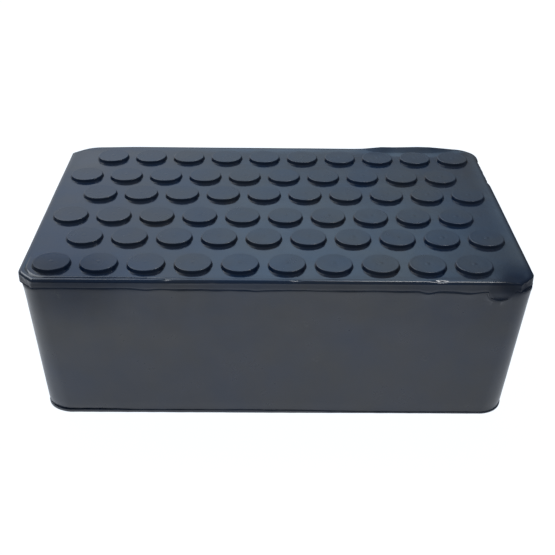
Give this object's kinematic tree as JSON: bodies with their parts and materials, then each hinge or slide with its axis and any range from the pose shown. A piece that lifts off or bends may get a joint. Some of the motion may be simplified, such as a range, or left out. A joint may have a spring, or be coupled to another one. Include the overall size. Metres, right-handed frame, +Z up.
{
  "type": "rubber block",
  "caption": "Moulded rubber spacer block with a studded, non-slip plate on top, laid on a lift arm or jack head to carry and protect what it lifts.",
  "frame": {"origin": "on the floor, under the middle of the block's overall length and width", "axes": "+X along the length, +Y across the width towards the back long side, +Z up from the flat base to the studs"},
  "size_m": [0.15, 0.1, 0.051],
  "materials": {
    "rubber": "satin black moulded rubber"
  },
  "bodies": {
    "root": {"rubber_block": "rubber"}
  },
  "joints": []
}
